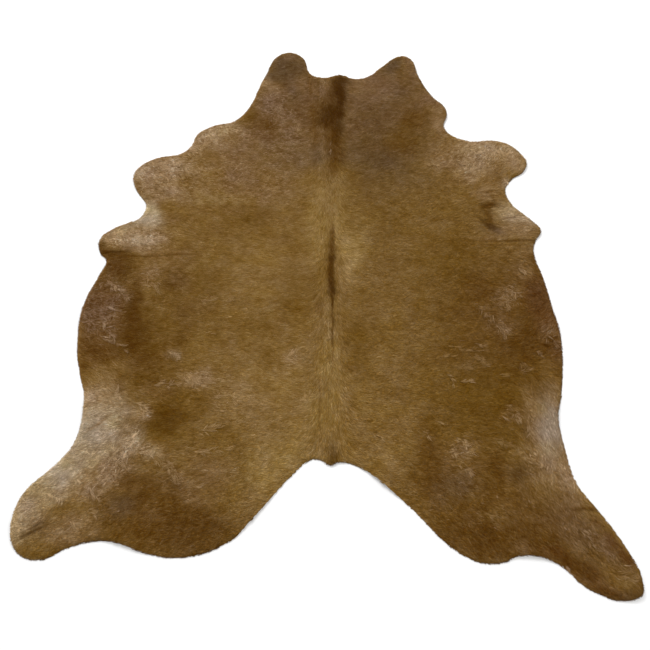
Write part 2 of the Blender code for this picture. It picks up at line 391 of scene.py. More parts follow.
# Each patch is a soft oval: its middle, half its width and length, its turn in degrees, its tone,
# how far it takes over, and how ruffled and mixed its hair is. Later patches lie over earlier
# ones. In millimetres and percent.
Patch = namedtuple("Patch", "side along wide long turn tone share ruffle")
patchUnits = (mm, mm, mm, mm, 1, None, percent, percent)
patches = {
    "broad washes": (
        (-110, 190, 210, 230, 0, "honey", 80, 10),
        (-310, 720, 130, 130, 0, "honey", 55, 0),
        (-590, 560, 90, 280, 0, "olive umber", 55, 20),
        (-160, 1550, 170, 200, 0, "dusty brown", 85, 50),
        (230, 1560, 210, 200, 0, "dusty brown", 85, 30),
        (-350, 1150, 210, 140, 0, "tan", 60, 50),
        (230, 1270, 150, 190, 0, "slate brown", 60, 20),
        (450, 620, 140, 330, 0, "olive umber", 45, 10),
        (650, 500, 130, 250, 0, "umber", 80, 20),
        (510, 190, 150, 140, 0, "olive umber", 90, 10),
        (500, -180, 190, 150, -10, "umber", 85, 40),
        (-520, -180, 170, 110, -5, "umber", 85, 40),
    ),
    "neck": (
        (-175, 1765, 90, 80, 0, "slate brown", 95, 20),
        (-185, 1820, 40, 18, 0, "rosy brown", 40, 20),
        (-228, 1702, 68, 36, 12, "slate brown", 100, 10),
        (-262, 1640, 48, 26, -50, "beige", 75, 30),
        (-155, 1600, 28, 50, 15, "slate brown", 65, 30),
        (-230, 1530, 55, 75, 0, "rosy brown", 75, 90),
        (-100, 1600, 28, 70, 0, "rosy brown", 45, 30),
        (-130, 1410, 60, 60, 0, "rosy brown", 35, 70),
        (-330, 1455, 35, 28, 40, "olive umber", 75, 30),
        (-262, 1390, 48, 62, 20, "umber", 95, 40),
        (-52, 1410, 28, 110, 0, "umber", 60, 30),
        (-55, 1250, 18, 50, 0, "slate brown", 50, 20),
        (140, 1660, 50, 40, 0, "tan", 45, 10),
        (200, 1665, 40, 50, 0, "rosy brown", 65, 10),
        (180, 1590, 50, 40, 0, "rosy brown", 45, 20),
        (278, 1760, 50, 26, 38, "slate brown", 85, 20),
        (352, 1796, 22, 24, 0, "rosy brown", 85, 20),
        (362, 1735, 26, 45, 0, "rosy brown", 50, 20),
        (300, 1600, 30, 30, 0, "slate brown", 30, 30),
        (420, 1560, 50, 30, -25, "rosy brown", 55, 20),
        (458, 1445, 26, 75, 0, "tan", 90, 20),
        (456, 1440, 18, 35, 0, "beige", 40, 20),
        (20, 1640, 240, 60, 0, "rosy brown", 30, 20),
        (345, 1455, 60, 50, -8, "umber", 75, 20),
        (320, 1350, 60, 60, 0, "olive umber", 80, 10),
        (260, 1300, 70, 60, 0, "umber", 55, 20),
        (220, 1240, 50, 40, 0, "slate brown", 60, 20),
        (250, 1440, 30, 35, 0, "dusty brown", 50, 30),
        (100, 1380, 30, 60, 0, "dusty brown", 40, 20),
        (8, 1565, 30, 50, 0, "deep umber", 75, 20),
        (-120, 1500, 40, 50, 0, "umber", 45, 40),
        (-150, 1440, 40, 30, 0, "dusty brown", 50, 50),
        (-60, 1250, 190, 75, 0, "slate brown", 42, 30),
        (-190, 1310, 85, 75, 0, "dusty brown", 35, 90),
        (20, 1150, 85, 60, 0, "olive gold", 65, 10),
        (100, 1390, 30, 40, 0, "umber", 30, 20),
        (-325, 1350, 62, 45, 20, "rosy brown", 50, 60),
        (-390, 1250, 70, 40, 0, "rosy brown", 50, 60),
        (180, 1430, 60, 50, 0, "dusty brown", 45, 20),
    ),
    "left front leg": (
        (-490, 1360, 90, 60, 15, "beige", 95, 90),
        (-380, 1375, 55, 40, 20, "tan", 80, 60),
        (-545, 1300, 30, 28, 0, "beige", 75, 60),
        (-660, 1170, 115, 95, 0, "beige", 90, 90),
        (-750, 1190, 30, 50, 10, "pale beige", 60, 80),
        (-752, 1095, 16, 40, 25, "umber", 50, 50),
        (-565, 1130, 24, 60, 5, "golden brown", 70, 50),
        (-485, 1160, 45, 60, 0, "golden brown", 60, 50),
        (-640, 1070, 75, 45, -20, "beige", 55, 60),
        (-440, 1045, 90, 28, -3, "pale honey", 60, 40),
        (-240, 1090, 50, 50, 0, "tan", 50, 60),
        (-355, 1165, 60, 45, 0, "rosy brown", 55, 70),
        (-698, 963, 60, 38, -50, "cream", 100, 10),
        (-760, 922, 55, 16, 33, "grey ash", 45, 30),
        (-632, 992, 50, 22, -68, "golden brown", 70, 10),
        (-735, 862, 115, 38, 3, "beige", 100, 90),
        (-715, 855, 60, 22, -8, "pale beige", 55, 100),
        # The next three rows are painted shade under the lobe's lower edge, where its crease
        # starts.
        (-846, 802, 34, 22, -35, "dark line", 80, 10),
        (-812, 790, 34, 11, -8, "deep umber", 75, 10),
        (-800, 800, 50, 12, -4, "umber", 45, 20),
        (-690, 806, 80, 14, 0, "beige", 45, 30),
        (-730, 760, 90, 10, 0, "umber", 35, 10),
        (-450, 1390, 70, 30, 20, "pale beige", 60, 80),
        (-600, 1200, 35, 25, 0, "pale beige", 30, 90),
        (-650, 1245, 40, 18, 15, "beige", 60, 60),
        (-100, 1040, 35, 80, 0, "honey", 50, 20),
        (-605, 950, 30, 22, 0, "tan", 50, 20),
        (-550, 880, 35, 30, 0, "honey", 45, 20),
        (-790, 888, 40, 12, 20, "pale beige", 50, 50),
        (-705, 846, 45, 20, 0, "ash", 40, 100),
        (-620, 800, 70, 20, 0, "tan", 45, 20),
    ),
    "right front leg": (
        (640, 1275, 130, 65, -3, "beige", 90, 70),
        (500, 1250, 100, 70, 0, "tan", 70, 40),
        (690, 1310, 60, 22, -5, "pale beige", 45, 50),
        (560, 1160, 62, 42, 15, "beige", 75, 40),
        (640, 1200, 60, 24, 20, "tan", 60, 50),
        (640, 1090, 50, 50, 0, "tan", 65, 30),
        (697, 1120, 14, 24, -30, "pale beige", 50, 10),
        (705, 978, 52, 48, 25, "pale beige", 95, 10),
        (745, 940, 35, 20, -40, "pale beige", 80, 20),
        (622, 1000, 34, 12, 6, "deep umber", 90, 10),
        (617, 955, 14, 34, 0, "umber", 85, 10),
        (613, 912, 34, 15, -42, "dark line", 85, 10),
        (710, 885, 78, 30, 0, "beige", 60, 30),
        (620, 862, 70, 12, 4, "tan", 60, 30),
        (470, 840, 50, 35, 0, "olive umber", 45, 10),
        (575, 1255, 55, 70, 0, "pale beige", 55, 60),
        (440, 1215, 40, 28, 0, "beige", 38, 40),
        (605, 1065, 35, 35, 0, "beige", 45, 20),
        (757, 1205, 22, 30, 0, "beige", 65, 30),
        (632, 1066, 24, 6, 4, "umber", 60, 10),
        (672, 1165, 16, 35, 10, "umber", 35, 20),
        (560, 1235, 40, 30, 0, "tan", 40, 60),
        (740, 1215, 22, 26, 0, "beige", 45, 40),
    ),
    "back": (
        (-460, 660, 70, 55, 0, "olive umber", 50, 20),
        (-310, 945, 75, 35, 12, "olive umber", 60, 20),
        (-510, 460, 28, 50, 0, "umber", 50, 20),
        (-255, 485, 45, 40, 0, "olive gold", 70, 10),
        (-120, 610, 50, 80, -10, "olive gold", 75, 10),
        (-600, 760, 80, 40, 0, "tan", 40, 20),
        (-455, 287, 45, 28, -10, "beige", 70, 70),
        (-534, 372, 24, 18, 0, "pale beige", 45, 90),
        (-320, 200, 65, 55, -12, "beige", 42, 60),
        (-460, 200, 80, 50, 0, "olive umber", 50, 30),
        (-135, 365, 28, 26, 20, "beige", 50, 70),
        (-210, 360, 35, 35, 0, "olive gold", 45, 20),
        (-340, 75, 70, 60, 0, "olive gold", 50, 30),
        (-320, -15, 50, 30, 10, "olive gold", 60, 30),
        (-175, -5, 110, 70, 32, "pale honey", 75, 10),
        (105, 400, 40, 120, 0, "olive gold", 85, 0),
        (260, 900, 120, 90, 0, "olive gold", 60, 10),
        (210, 1030, 70, 60, 0, "olive gold", 25, 10),
        (480, 700, 70, 80, 0, "olive umber", 60, 20),
        (330, 330, 80, 60, 0, "olive gold", 40, 10),
        (-435, 800, 50, 50, 0, "olive gold", 45, 20),
        (-440, 530, 55, 90, 0, "olive gold", 40, 20),
        (-550, 380, 35, 50, 0, "umber", 35, 30),
        (480, 510, 80, 120, 0, "umber", 48, 20),
        (400, 365, 120, 45, 0, "umber", 30, 20),
        (200, 20, 80, 45, -35, "honey", 50, 10),
        (310, 70, 32, 60, 0, "umber", 55, 20),
        (420, 130, 60, 40, 0, "olive umber", 55, 20),
        (110, 860, 60, 110, 0, "pale honey", 35, 0),
        (-300, 0, 40, 35, 0, "olive gold", 50, 20),
        (-470, 50, 45, 35, 0, "olive gold", 55, 40),
        (-380, -250, 100, 50, 0, "deep umber", 50, 30),
        (-250, -120, 40, 40, 30, "golden brown", 40, 10),
        (500, -10, 70, 30, 0, "umber", 50, 20),
        (455, 50, 40, 35, 0, "olive umber", 50, 20),
        (-500, 560, 80, 40, 0, "dusty brown", 35, 30),
        (-555, 655, 40, 45, 0, "dusty brown", 50, 50),
        (-250, 760, 50, 40, 0, "honey", 60, 10),
        (-400, -50, 70, 60, 20, "tan", 55, 30),
    ),
    "left flank": (
        (-780, 738, 52, 45, -20, "deep umber", 95, 20),
        (-800, 550, 85, 130, 0, "red brown", 75, 70),
        (-745, 625, 45, 13, -50, "beige", 40, 50),
        (-790, 385, 75, 32, -8, "umber", 90, 30),
        (-694, 560, 24, 120, 3, "deep umber", 85, 20),
        (-665, 440, 42, 70, 0, "deep umber", 75, 20),
        (-630, 355, 60, 50, 0, "umber", 65, 30),
        (-647, 690, 34, 45, 0, "tan", 85, 70),
        (-605, 575, 26, 40, 0, "golden brown", 50, 40),
        (-610, 250, 80, 50, 0, "olive umber", 75, 30),
        (-840, 345, 50, 45, 0, "umber", 75, 30),
        (-700, 300, 35, 40, 0, "umber", 35, 30),
        (-600, 600, 50, 60, 0, "olive umber", 40, 30),
        (-720, 450, 45, 60, 0, "deep umber", 55, 30),
        (-820, 550, 60, 120, 0, "red brown", 40, 70),
        (-775, 525, 28, 50, 0, "rosy brown", 45, 90),
        (-850, 545, 26, 60, 0, "rosy brown", 35, 70),
    ),
    "right flank": (
        (690, 440, 50, 70, 0, "deep umber", 70, 20),
        (745, 610, 47, 110, 5, "red brown", 85, 30),
        (765, 755, 26, 45, 10, "umber", 50, 20),
        (705, 712, 24, 30, 0, "tan", 85, 40),
        (700, 790, 50, 22, 0, "tan", 40, 30),
        (785, 450, 38, 110, -3, "red brown", 80, 40),
        (770, 460, 30, 32, 30, "dusty brown", 55, 60),
        (635, 620, 45, 32, 20, "tan", 60, 90),
        (610, 580, 55, 24, 5, "tan", 45, 90),
        (600, 488, 40, 40, -30, "tan", 42, 90),
        (548, 552, 14, 12, 0, "tan", 50, 70),
        (625, 380, 45, 60, 0, "deep umber", 50, 20),
        (550, 570, 50, 70, 0, "umber", 40, 40),
        (545, 650, 45, 45, 0, "umber", 75, 20),
        (740, -50, 26, 60, 8, "beige", 45, 30),
    ),
    "groins": (
        (-785, 205, 55, 48, 10, "beige", 95, 40),
        (-750, 95, 85, 120, 0, "pale beige", 100, 30),
        (-795, 60, 55, 80, 0, "grey ash", 90, 10),
        (-548, 130, 62, 58, 0, "olive umber", 100, 10),
        (-525, 140, 42, 35, 0, "deep umber", 45, 10),
        (-608, 165, 22, 22, 20, "beige", 85, 100),
        (-645, 55, 22, 48, -35, "pale beige", 80, 100),
        (-590, 40, 28, 14, 0, "beige", 30, 100),
        (-680, -30, 50, 60, -45, "tan", 60, 60),
        (-655, -52, 35, 35, -45, "tan", 60, 60),
        (690, 30, 46, 110, 5, "beige", 65, 40),
        (715, 115, 34, 90, -5, "grey ash", 65, 0),
        (745, -50, 26, 65, 10, "beige", 90, 30),
        (640, 0, 30, 40, 0, "tan", 55, 60),
        (600, 165, 30, 22, 20, "tan", 55, 70),
        (590, 30, 30, 24, 0, "golden brown", 50, 60),
        (-705, 130, 24, 50, -5, "ash", 70, 50),
        (-560, 245, 45, 32, 0, "tan", 50, 50),
        (-690, 200, 22, 30, 0, "pale beige", 50, 60),
        (660, 185, 24, 50, 0, "beige", 50, 30),
        (750, 220, 30, 36, 0, "beige", 45, 30),
    ),
    "left hind leg": (
        (-825, -28, 100, 52, 38, "pale beige", 100, 10),
        (-890, -65, 75, 45, 38, "ash", 85, 10),
        (-960, -165, 36, 75, -12, "pale beige", 100, 30),
        (-740, -70, 70, 40, 30, "beige", 70, 60),
        (-880, -110, 60, 30, 30, "beige", 60, 30),
        (-885, -210, 45, 22, 28, "umber", 50, 20),
        (-740, -252, 70, 12, 2, "umber", 70, 10),
        (-645, -135, 40, 30, 10, "slate brown", 60, 30),
        (-600, -80, 50, 35, -25, "umber", 65, 30),
        (-460, -200, 80, 50, 0, "deep umber", 30, 40),
        (-860, -50, 65, 40, 38, "cream", 95, 0),
        (-900, -115, 48, 40, 30, "pale beige", 80, 20),
        (-955, -215, 30, 45, -10, "pale beige", 60, 30),
        (-800, -225, 60, 30, 8, "beige", 60, 40),
        (-710, -120, 35, 45, 0, "tan", 55, 50),
        (-800, -200, 60, 30, 10, "beige", 55, 40),
        (-930, -200, 50, 50, 0, "pale beige", 40, 40),
        (-583, 30, 24, 14, -10, "pale beige", 60, 50),
        (-500, -20, 60, 16, -52, "tan", 40, 50),
        (-748, -35, 34, 20, 40, "beige", 70, 40),
        (-718, -5, 24, 30, 0, "beige", 45, 50),
        (-845, -118, 34, 20, 38, "pale beige", 55, 30),
        (-915, -105, 35, 25, 38, "pale beige", 60, 10),
        (-543, -173, 22, 14, 0, "tan", 45, 40),
        (-573, -88, 22, 30, 0, "deep umber", 30, 20),
        (-493, -75, 30, 18, 0, "deep umber", 50, 20),
        (-365, -203, 35, 22, 0, "deep umber", 45, 20),
        (-433, -122, 25, 18, 0, "tan", 35, 40),
    ),
    "right hind leg": (
        (325, -40, 55, 90, -15, "umber", 80, 20),
        (430, 40, 50, 30, 10, "tan", 55, 80),
        (455, -260, 40, 35, 0, "deep umber", 50, 30),
        (620, -240, 60, 35, 0, "deep umber", 35, 20),
        (735, -210, 50, 90, 30, "dusty brown", 90, 30),
        (830, -285, 28, 80, 38, "dusty brown", 90, 50),
        (685, -295, 60, 20, -35, "red brown", 85, 20),
        (765, -345, 60, 30, -25, "red brown", 85, 20),
        (820, -392, 55, 16, -8, "red brown", 70, 20),
        (865, -395, 28, 14, 0, "slate brown", 60, 30),
        (850, -245, 16, 30, 32, "red brown", 90, 30),
        (882, -300, 14, 30, 22, "red brown", 85, 30),
        (812, -190, 16, 18, 30, "red brown", 60, 20),
        (900, -375, 16, 24, 10, "umber", 50, 20),
        (510, -235, 130, 50, 0, "deep umber", 55, 30),
        (655, -195, 40, 50, 20, "umber", 65, 30),
        (740, -325, 55, 30, -30, "deep umber", 75, 20),
        (825, -395, 50, 18, -8, "deep umber", 50, 20),
        (350, -230, 35, 40, -30, "deep umber", 50, 20),
        (429, -35, 22, 12, 0, "tan", 55, 70),
        (395, -85, 65, 40, 10, "slate brown", 50, 30),
        (529, -10, 16, 50, -10, "deep umber", 50, 20),
        (590, -37, 34, 22, 0, "slate brown", 45, 30),
        (464, -230, 30, 32, 0, "deep umber", 55, 20),
        (514, -170, 35, 20, 0, "golden brown", 50, 50),
        (446, -119, 30, 20, 0, "golden brown", 45, 40),
        (566, -262, 22, 12, 0, "tan", 45, 40),
    ),
    "spine": (
        (30, 990, 50, 150, 0, "pale honey", 60, 0),
        (70, 760, 36, 100, 0, "pale honey", 90, 0),
        (-52, 930, 34, 150, 0, "pale honey", 70, 0),
        (55, 1685, 36, 40, 0, "dark line", 70, 10),
        (47, 1610, 28, 60, 0, "dark line", 100, 10),
        (50, 1545, 18, 45, -10, "dark line", 90, 10),
        (14, 1498, 44, 36, 0, "dark line", 95, 10),
        (0, 1450, 32, 35, 0, "dark line", 90, 10),
        (36, 1400, 26, 52, 0, "dark line", 85, 10),
        (18, 1345, 18, 40, 0, "dark line", 50, 10),
        (0, 1380, 20, 50, 0, "deep umber", 70, 10),
        (25, 1300, 34, 60, 0, "deep umber", 75, 10),
        (40, 1240, 26, 30, 0, "deep umber", 60, 10),
        (10, 1200, 26, 28, 0, "umber", 60, 10),
        (4, 20, 16, 34, 0, "dark line", 50, 10),
        (48, 1500, 20, 34, 0, "dark line", 90, 10),
        (62, 715, 32, 65, 0, "beige", 35, 0),
        (-45, 650, 26, 50, 0, "olive gold", 45, 0),
        (-40, 556, 18, 18, 0, "umber", 50, 10),
        (83, 315, 20, 14, 0, "umber", 45, 10),
        (120, 830, 30, 40, 0, "pale honey", 45, 10),
        (55, 620, 26, 40, 0, "golden brown", 50, 0),
        (2, 330, 28, 180, 0, "pale honey", 45, 0),
        (-50, 190, 28, 70, 0, "pale honey", 60, 0),
    ),
}

# Creases and dark lines, which run straighter than the patches. The dark lines along the creases
# and folds are painted shade in them.
lines = (
    (755, 434, 36, 6, 14, "deep umber", 90, 20),
    (762, 410, 36, 6, -2, "deep umber", 85, 20),
    (722, 379, 24, 6, 2, "deep umber", 75, 20),
    (-838, 330, 16, 5, -5, "deep umber", 80, 0),
    (-82, 1650, 5, 85, 0, "umber", 70, 0),
    (-66, 1450, 5, 130, 2, "umber", 50, 0),
    (-50, 1630, 4, 70, 0, "umber", 60, 0),
    (-740, 777, 110, 4.5, 0, "deep umber", 80, 0),
    (-580, 783, 80, 4, 2, "umber", 60, 0),
    (-800, 795, 44, 5, 0, "dark line", 90, 0),
    (645, 1055, 25, 4, 3, "umber", 60, 0),
    (640, 1080, 25, 4, 5, "umber", 60, 0),
    (648, 1030, 22, 4, 0, "umber", 55, 0),
    (690, 845, 80, 5, 1, "deep umber", 75, 0),
    (670, 826, 90, 4, 0, "umber", 65, 0),
    (-755, 125, 45, 4, 38, "tan", 80, 0),
    (-906, -224, 34, 4, 30, "dark line", 85, 0),
    (-896, -204, 28, 3, 32, "dark line", 70, 0),
    (780, -151, 45, 5, 0, "deep umber", 95, 0),
    (12, 872, 9, 45, 0, "deep umber", 75, 0),
    (8, 805, 10, 38, 0, "deep umber", 90, 0),
    (22, 803, 14, 3, 0, "deep umber", 60, 0),
    (-12, 757, 13, 3, 0, "deep umber", 60, 0),
    (7, 768, 12, 14, 0, "dark line", 90, 0),
    (4, 705, 10, 60, 0, "deep umber", 90, 0),
    (3, 655, 11, 28, 0, "dark line", 75, 0),
    (10, 620, 13, 20, 0, "dark line", 90, 0),
    (10, 580, 3.5, 30, 0, "deep umber", 80, 0),
    (9, 490, 2.8, 70, 0, "deep umber", 70, 0),
    (9, 380, 3, 80, 0, "umber", 50, 0),
    (700, 954, 45, 3, 13, "umber", 50, 0),
    (-35, 170, 4, 120, 0, "umber", 45, 0),
)

colouring = {
    "base": "golden brown",
    "calm": 0.08,  # how ruffled the coat is where no patch says so
    "firmness": 1.5,  # how firm a patch's rim is
    "fade": 0.55,
    "reach": 9,  # how far a patch can reach, squared, in its own half sizes
    "warpSize": 0.055,
    "warp": 0.012,  # how far the patches' rims wander
    "warpFiner": 2.3,  # a second wandering is this much finer
    "warpFinerShare": 0.5,
    "lineWarp": 0.15,  # the share of it that lines take
    "clouds": (  # size, strength, and how much stronger where the hair is ruffled
        (0.150, 0.05, 0.2),
        (0.060, 0.08, 0.0),
        (0.026, 0.10, 0.0),
        (0.012, 0.12, 1.0),
        (0.006, 0.17, 1.6),
    ),
    "curlSize": 0.0075,
    "curlWidth": 0.22,  # the part of the range that a curl's crest of painted highlight takes
    "curlMean": 0.33,  # how bright the crests are on average
    "curls": 0.40,  # how much painted highlight the crests of curls take where the hair is ruffled, with painted shade between them
    "warmthSize": 0.045,
    "warmth": 0.05,  # how far clouds turn from olive to rosy
    "warmthGreen": 0.3,  # of that, in the green channel and in the blue
    "warmthBlue": 3,
    "evenness": 0.50,  # how evenly shade falls on the channels
    "evenRange": (0.6, 2.6),
    "darkest": 0.002,  # the least that a channel can be
    "rimWidth": 0.0053,
    "rimStep": 0.012,  # how far apart the edge's direction is read
    "paintedEdgeShade": 1.0,  # how much painted shade darkens the hair along the cut edge, most on the side away from the window
    "rimDarkest": 0.68,
    "rimFrom": (-0.45, 0.89),  # where the window is in plan
    "rimSides": (0.38, 0.62),  # of that shade: on every side, and what facing away adds
    "rimLeast": 0.05,
    "gain": (1.874, 1.974, 2.042),  # from the tone as seen to the hair's own colour
    "sheen": (-0.0121, -0.0033, 0.0025),  # what the sheen adds to each channel
}


def linear(tone):
    return np.array([((c / 255 + 0.055) / 1.055) ** 2.4 for c in tone])


gain = np.array(colouring["gain"])
sheen = np.array(colouring["sheen"])
palest = linear(tones["white hair"]) * gain
brightness = np.array([0.30, 0.59, 0.11])  # what each channel adds to it
coatPatches = [patch for rows in patches.values() for patch in rowsOf(Patch, patchUnits, rows)]
coatLines = rowsOf(Patch, patchUnits, lines)
warpNoise = [SoftNoise(colouring["warpSize"], seeds["warp"] + k) for k in range(4)]
cloudNoise = [SoftNoise(row[0], seeds["clouds"] + k) for k, row in enumerate(colouring["clouds"])]
warmNoise = SoftNoise(colouring["warmthSize"], seeds["warmth"])
curlNoise = SoftNoise(colouring["curlSize"], seeds["curls"])


def shadedBy(colour, light):
    # lighter or darker by about the same step in each channel, so that fine grain keeps its hue
    grey = colour @ brightness
    power = (grey[:, None] / colour) ** colouring["evenness"]
    return colour * light ** np.clip(power, *colouring["evenRange"])


def layPatch(patch, side, along, colour, ruffle):
    turn = math.radians(patch.turn)
    across = side - patch.side
    up = along - patch.along
    u = (across * math.cos(turn) + up * math.sin(turn)) / patch.wide
    v = (up * math.cos(turn) - across * math.sin(turn)) / patch.long
    reach = u * u + v * v
    near = reach < colouring["reach"]
    weight = patch.share * np.exp(-colouring["fade"] * reach[near] ** colouring["firmness"])
    colour[near] += (linear(tones[patch.tone]) - colour[near]) * weight[:, None]
    ruffle[near] += (patch.ruffle - ruffle[near]) * weight


def paintedEdgeShade(x, y):
    # painted shade along the cut edge, most on the side away from the window
    step = colouring["rimStep"]
    outX = rim.at(x - step, y) - rim.at(x + step, y)
    outY = rim.at(x, y - step) - rim.at(x, y + step)
    length = np.maximum(np.hypot(outX, outY), tiny)
    away = -(outX * colouring["rimFrom"][0] + outY * colouring["rimFrom"][1]) / length
    shade = colouring["paintedEdgeShade"] * np.exp(-np.clip(rim.at(x, y), 0, 1) / colouring["rimWidth"])
    everywhere, facingAway = colouring["rimSides"]
    sides = np.clip(everywhere + facingAway * away, colouring["rimLeast"], 1)
    return 1 - sides * np.minimum(shade, colouring["rimDarkest"])


def driftAt(x, y, coarse, fine):
    finer = colouring["warpFiner"]
    fineDrift = colouring["warpFinerShare"] * fine.at(finer * x, finer * y)
    return colouring["warp"] * (coarse.at(x, y) + fineDrift)


def toneAt(x, y):
    # the coat's colour and how ruffled it is, at places in plan, with painted shade along the cut
    # edge and in the creases and painted highlight on the curls' crests
    side, along = onHide(x, y)
    driftSide = driftAt(x, y, warpNoise[0], warpNoise[1])
    driftAlong = driftAt(x, y, warpNoise[2], warpNoise[3])
    colour = np.tile(linear(tones[colouring["base"]]), (len(x), 1))
    ruffle = np.full(len(x), colouring["calm"])
    for rows, warp in ((coatPatches, 1), (coatLines, colouring["lineWarp"])):
        warpedSide, warpedAlong = side + warp * driftSide, along + warp * driftAlong
        for patch in rows:
            layPatch(patch, warpedSide, warpedAlong, colour, ruffle)
    cloud = 1 + sum(
        strength * (1 + growth * ruffle) * noise.at(x, y)
        for (_, strength, growth), noise in zip(colouring["clouds"], cloudNoise)
    )
    # painted highlight on the crests of curls, painted shade between them
    crest = np.exp(-((curlNoise.at(x, y) / colouring["curlWidth"]) ** 2)) - colouring["curlMean"]
    light = cloud * (1 + colouring["curls"] * ruffle * crest)
    colour = shadedBy(colour, light[:, None])
    warm = warmNoise.at(x, y)
    colour[:, 2] *= 1 + colouring["warmthBlue"] * colouring["warmth"] * warm
    colour[:, 1] *= 1 + colouring["warmthGreen"] * colouring["warmth"] * warm
    # painted shade along the cut edge
    colour *= paintedEdgeShade(x, y)[:, None]
    return np.clip(colour * gain - sheen, colouring["darkest"], 1), ruffle


# How the hair lies around each place: how far it turns from straight outwards to straight back to
# the tail, in degrees, and how far that reaches. In millimetres.
Comb = namedtuple("Comb", "side along droop reach")
combUnits = (mm, mm, 1, mm)
combs = {
    "left": (
        (-180, 1750, 12, 100),
        (-250, 1550, 30, 120),
        (-450, 1370, 10, 100),
        (-700, 1170, 12, 120),
        (-670, 970, 30, 60),
        (-750, 860, 4, 80),
        (-300, 1100, 15, 150),
        (-300, 900, 4, 150),
        (-550, 900, 3, 120),
        (-300, 600, 6, 180),
        (-550, 650, 8, 120),
        (-300, 350, 3, 150),
        (-550, 400, 5, 120),
        (-790, 680, 50, 60),
        (-800, 560, 30, 70),
        (-800, 430, -10, 70),
        (-780, 280, -30, 60),
        (-770, 150, 25, 60),
        (-450, 80, 14, 140),
        (-640, 80, 62, 50),
        (-720, -30, 48, 70),
        (-860, -120, 36, 100),
        (-800, -220, 30, 80),
        (-300, -50, 20, 140),
        (-480, -200, 35, 100),
    ),
    "right": (
        (320, 1750, 25, 80),
        (200, 1600, 4, 120),
        (400, 1480, -22, 100),
        (300, 1300, -5, 120),
        (600, 1230, -24, 100),
        (730, 1240, -20, 80),
        (660, 1000, 20, 70),
        (700, 880, 2, 80),
        (300, 1050, 4, 150),
        (300, 800, 2, 180),
        (550, 750, 8, 120),
        (300, 500, 3, 180),
        (500, 380, -2, 120),
        (740, 680, 45, 70),
        (620, 560, 25, 80),
        (760, 500, -38, 60),
        (760, 410, -22, 50),
        (730, 350, 15, 50),
        (690, 230, 62, 70),
        (720, 80, 80, 100),
        (450, 150, 10, 140),
        (300, 0, 15, 140),
        (430, -80, 32, 120),
        (500, -230, 48, 100),
        (690, -80, 60, 90),
        (800, -230, 52, 100),
        (860, -360, 46, 80),
    ),
}

lie = {
    "straightBack": 90,
    "spineReach": 0.10,  # beside the spine the hair turns from backwards to outwards
    "leastWeight": 1e-9,
    "farWeight": 1e-6,  # what every comb counts for beyond its reach
    "farReach": 0.01,  # squared
    "waveSizes": (0.20, 0.07, 0.028),
    "waves": (4, 4, 5),  # degrees of gentle wandering
    "ruffledWaves": 1.5,  # how much more they wander where the hair is ruffled
    "ruffled": 34,  # degrees more where the hair is ruffled
}

waveNoise = [SoftNoise(size, seeds["waves"] + k) for k, size in enumerate(lie["waveSizes"])]
combSides = (
    (-1, rowsOf(Comb, combUnits, combs["left"])),
    (1, rowsOf(Comb, combUnits, combs["right"])),
)


def headingAt(x, y, ruffle):
    # unit direction of the hair in plan
    side, along = onHide(x, y)
    droop = np.zeros(len(x))
    for sign, rows in combSides:
        total = np.full(len(x), lie["leastWeight"])
        turned = np.zeros(len(x))
        for comb in rows:
            across, up = (side - comb.side) ** 2, (along - comb.along) ** 2
            weight = np.exp(-(across + up) / comb.reach**2)
            weight += lie["farWeight"] / (lie["farReach"] + across + up)
            total += weight
            turned += weight * comb.droop
        here = sign * side >= 0
        droop[here] = (turned / total)[here]
    backwards = 1 - eased(np.clip(np.abs(side) / lie["spineReach"], 0, 1))
    droop = droop + (lie["straightBack"] - droop) * backwards
    for amount, noise in zip(lie["waves"], waveNoise):
        droop += amount * (1 + lie["ruffledWaves"] * ruffle) * noise.at(x, y)
    droop = np.radians(droop)
    return np.cos(droop) * np.where(side < 0, -1, 1), -np.sin(droop)


coat = {
    "pitch": 0.00388,  # spacing of the locks' roots
    "scatter": 0.5,  # how far a root strays, for the spacing
    "rootInset": 0.001,  # how far in from the edge the hair starts to grow
    "length": 0.020,
    "lengthSpread": 0.30,
    "shortest": 0.12,  # what is left of a lock that the edge cuts short
    "ruffledShort": 0.58,  # how much shorter the locks lie where the hair is ruffled
    "width": 0.0033,
    "widthSpread": 0.25,
    "ridge": 0.0005,  # how far a lock's back stands over the leather at its root
    "sunk": 0.0003,
    "lift": 0.0026,  # height of the tips over the leather
    "liftSpread": 0.35,
    "ruffledLift": 0.5,  # how much higher the tips stand where the hair is ruffled
    "settle": 0.016,  # how far in from the edge the tips start to settle
    "hang": -0.5,  # how far they hang past it, for their lift
    "overhang": 0.0014,  # how far tips may reach past the cut edge
    "overhangRange": (-0.6, 1.0),
    "stray": 13,  # degrees that a lock strays from its neighbours
    "shade": 0.135,  # how much locks differ in brightness
    "ruffledShade": 1.8,  # how much more they do where the hair is ruffled
    "streak": 0.10,  # how much brightness runs in streaks along the hair
    "streakSize": 0.0055,
    "streakLength": 0.034,
    "streakSteps": 9,
    "streakGain": 2.5,  # makes up for what the mean along a streak takes away
    "paleFrom": 0.38,  # pale locks grow where the hair is more ruffled than this
    "paleShare": 0.22,  # of the locks, for each step more
    "pale": (0.08, 0.40),  # how far they go towards the palest hair
    "rootTone": 0.62,  # brightness at the root, on the back and at the tip: painted shade where the locks lie under each other, painted light on top
    "backTone": 0.80,
    "tipTone": 1.06,
    "backAt": 0.4,  # where along a lock the coat's tone is read for its back, and for its tip
    "tipAt": 0.9,
    "pieces": ("coat_left_flank", "coat_left_back", "coat_right_back", "coat_right_flank"),
}

streakNoise = SoftNoise(coat["streakSize"], seeds["streaks"])


def around(rng, middle, share, count):
    # seeded numbers that differ from the middle by up to a share of it
    return middle * (1 + share * rng.uniform(-1, 1, count))


